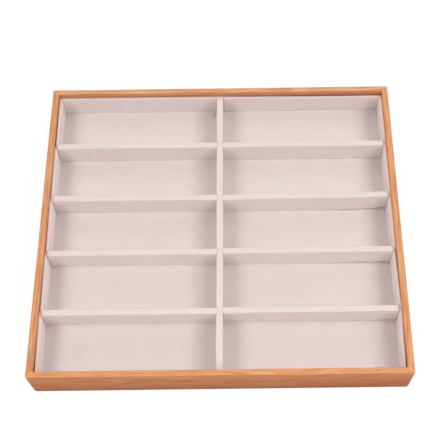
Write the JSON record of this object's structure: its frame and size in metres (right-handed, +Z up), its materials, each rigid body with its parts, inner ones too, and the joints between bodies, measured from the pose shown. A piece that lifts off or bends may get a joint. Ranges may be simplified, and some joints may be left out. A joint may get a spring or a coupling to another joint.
{
  "type": "sunglasses organizer",
  "caption": "Open mitred wooden tray lined with soft plush, its centre divider and short cross dividers making wide, shallow compartments for sunglasses.",
  "frame": {"origin": "middle of the underside, on the surface that the tray stands on", "axes": "+X to the right along the tray's width, +Y to its back, +Z up"},
  "size_m": [0.36, 0.324, 0.039],
  "materials": {
    "oiled_wood": "satin oiled, straight streaky grain, orange-tan",
    "base_mdf": "plain matt fibreboard",
    "grey_card": "plain stiff card",
    "divider_hardboard": "plain hardboard",
    "greige_plush": "short soft plush, pinkish greige"
  },
  "bodies": {
    "root": {"front_rail": "oiled_wood", "back_rail": "oiled_wood", "left_rail": "oiled_wood", "right_rail": "oiled_wood", "base_panel": "base_mdf", "floor_board": "grey_card", "floor_fabric": "greige_plush", "front_lining_board": "grey_card", "back_lining_board": "grey_card", "left_lining_board": "grey_card", "right_lining_board": "grey_card", "front_lining_fabric": "greige_plush", "back_lining_fabric": "greige_plush", "left_lining_fabric": "greige_plush", "right_lining_fabric": "greige_plush", "centre_divider_board": "divider_hardboard", "centre_divider_fabric": "greige_plush", "left_divider_board_1": "divider_hardboard", "left_divider_board_2": "divider_hardboard", "left_divider_board_3": "divider_hardboard", "left_divider_board_4": "divider_hardboard", "right_divider_board_1": "divider_hardboard", "right_divider_board_2": "divider_hardboard", "right_divider_board_3": "divider_hardboard", "right_divider_board_4": "divider_hardboard", "left_divider_fabric_1": "greige_plush", "left_divider_fabric_2": "greige_plush", "left_divider_fabric_3": "greige_plush", "left_divider_fabric_4": "greige_plush", "right_divider_fabric_1": "greige_plush", "right_divider_fabric_2": "greige_plush", "right_divider_fabric_3": "greige_plush", "right_divider_fabric_4": "greige_plush"}
  },
  "joints": []
}
